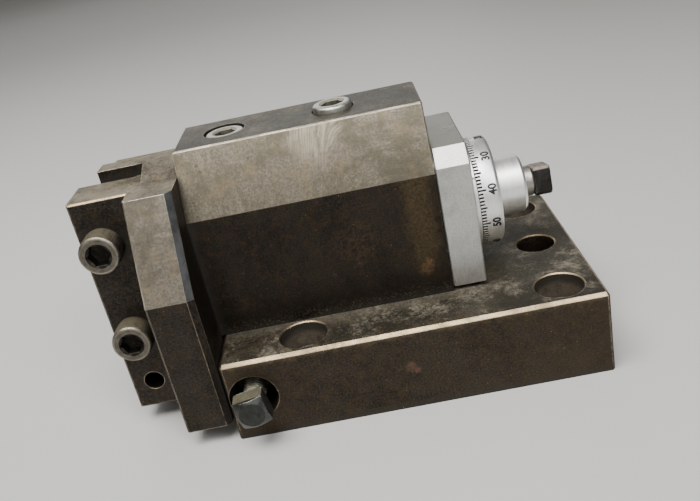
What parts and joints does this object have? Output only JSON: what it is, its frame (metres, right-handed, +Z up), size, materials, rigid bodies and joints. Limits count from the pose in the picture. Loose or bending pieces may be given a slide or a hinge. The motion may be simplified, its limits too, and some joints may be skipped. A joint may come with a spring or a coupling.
{
  "type": "quick change tool post",
  "caption": "Adjustable lathe tool post: a slide block on a drilled base plate, moved by a feed screw with a micrometer dial, carrying a split-clamp tool head.",
  "frame": {"origin": "centre of the base plate's underside", "axes": "+X along the feed screw towards the dial, +Y from the front (lock bolt side) to the back, +Z up out of the base"},
  "size_m": [0.1224, 0.0722, 0.0715],
  "materials": {
    "oxide_steel": "black oxide worn brown, with light ground faces and rust mottling",
    "plain_steel": "machined, lightly oiled",
    "zinc_steel": "dulled zinc plate",
    "worn_screw_steel": "worn black oxide with grey-brown stains",
    "black_screw_steel": "black oxide",
    "aluminium_plate": "satin milled",
    "aluminium_turned": "satin turned",
    "bronze": "machined bearing bronze",
    "nitrile": "matt"
  },
  "bodies": {
    "base": {"base_plate": "oxide_steel", "feed_nut_post": "plain_steel", "feed_nut": "bronze", "nut_post_screws": "black_screw_steel"},
    "slide": {"slide_block": "oxide_steel", "t_guide_bar": "plain_steel", "end_bracket": "aluminium_plate", "bracket_screws": "black_screw_steel", "screw_bush": "bronze", "thrust_washer": "bronze", "index_ring": "aluminium_turned", "tool_head": "oxide_steel", "head_screws_front": "black_screw_steel", "head_screws_rear": "black_screw_steel", "head_dowels": "plain_steel"},
    "feed_screw": {"feed_screw": "plain_steel", "thrust_collar": "plain_steel", "dial_hub": "aluminium_turned", "dial_set_screw": "black_screw_steel", "dial_friction_ring": "nitrile"},
    "dial": {"dial_ring": "aluminium_turned"},
    "clamp_cap": {"clamp_cap": "oxide_steel"},
    "clamp_screw_upper": {"clamp_screw_upper": "worn_screw_steel"},
    "clamp_screw_lower": {"clamp_screw_lower": "worn_screw_steel"},
    "slide_lock_screw_left": {"slide_lock_screw_left": "zinc_steel"},
    "slide_lock_screw_right": {"slide_lock_screw_right": "zinc_steel"},
    "lock_pad": {"lock_pad": "bronze"},
    "lock_bolt": {"lock_bolt": "zinc_steel"}
  },
  "joints": [
    {"name": "slide_travel", "type": "slide", "parent": "base", "child": "slide", "axis": [1, 0, 0], "range_m": [-0.006, 0.00045]},
    {"name": "feed_screw_turn", "type": "hinge", "parent": "slide", "child": "feed_screw", "pos_m": [0.025, 0, 0.0404], "axis": [1, 0, 0], "range_deg": [-2161, 163]},
    {"name": "dial_zero_setting", "type": "hinge", "parent": "feed_screw", "child": "dial", "pos_m": [0.0247, 0, 0.0404], "axis": [1, 0, 0], "continuous": true},
    {"name": "clamp_cap_opening", "type": "slide", "parent": "slide", "child": "clamp_cap", "axis": [0, 1, 0], "range_m": [-0.0015, 0.0003]},
    {"name": "clamp_screw_upper_turn", "type": "hinge", "parent": "clamp_cap", "child": "clamp_screw_upper", "pos_m": [-0.0691, -0.0173, 0.0525], "axis": [0, 1, 0], "range_deg": [-541, 109]},
    {"name": "clamp_screw_lower_turn", "type": "hinge", "parent": "clamp_cap", "child": "clamp_screw_lower", "pos_m": [-0.0691, -0.0173, 0.0275], "axis": [0, 1, 0], "range_deg": [-541, 109]},
    {"name": "slide_lock_screw_left_turn", "type": "hinge", "parent": "slide", "child": "slide_lock_screw_left", "pos_m": [-0.0364, 0, 0.0637], "axis": [0, 0, 1], "range_deg": [0, 180]},
    {"name": "slide_lock_screw_right_turn", "type": "hinge", "parent": "slide", "child": "slide_lock_screw_right", "pos_m": [-0.0086, 0, 0.0655], "axis": [0, 0, 1], "range_deg": [0, 180]},
    {"name": "lock_pad_advance", "type": "slide", "parent": "base", "child": "lock_pad", "axis": [0, 1, 0], "range_m": [-0.0015, 0.00037]},
    {"name": "lock_bolt_turn", "type": "hinge", "parent": "lock_pad", "child": "lock_bolt", "pos_m": [-0.0411, -0.0345, 0.0116], "axis": [0, 1, 0], "range_deg": [-541, 134]}
  ],
  "couplings": [
    {"joint": "feed_screw_turn", "follows": "slide_travel", "rad_per_m": 6283.2},
    {"joint": "clamp_screw_upper_turn", "follows": "clamp_cap_opening", "rad_per_m": 6283.2},
    {"joint": "clamp_screw_lower_turn", "follows": "clamp_cap_opening", "rad_per_m": 6283.2},
    {"joint": "lock_bolt_turn", "follows": "lock_pad_advance", "rad_per_m": 6283.2}
  ]
}
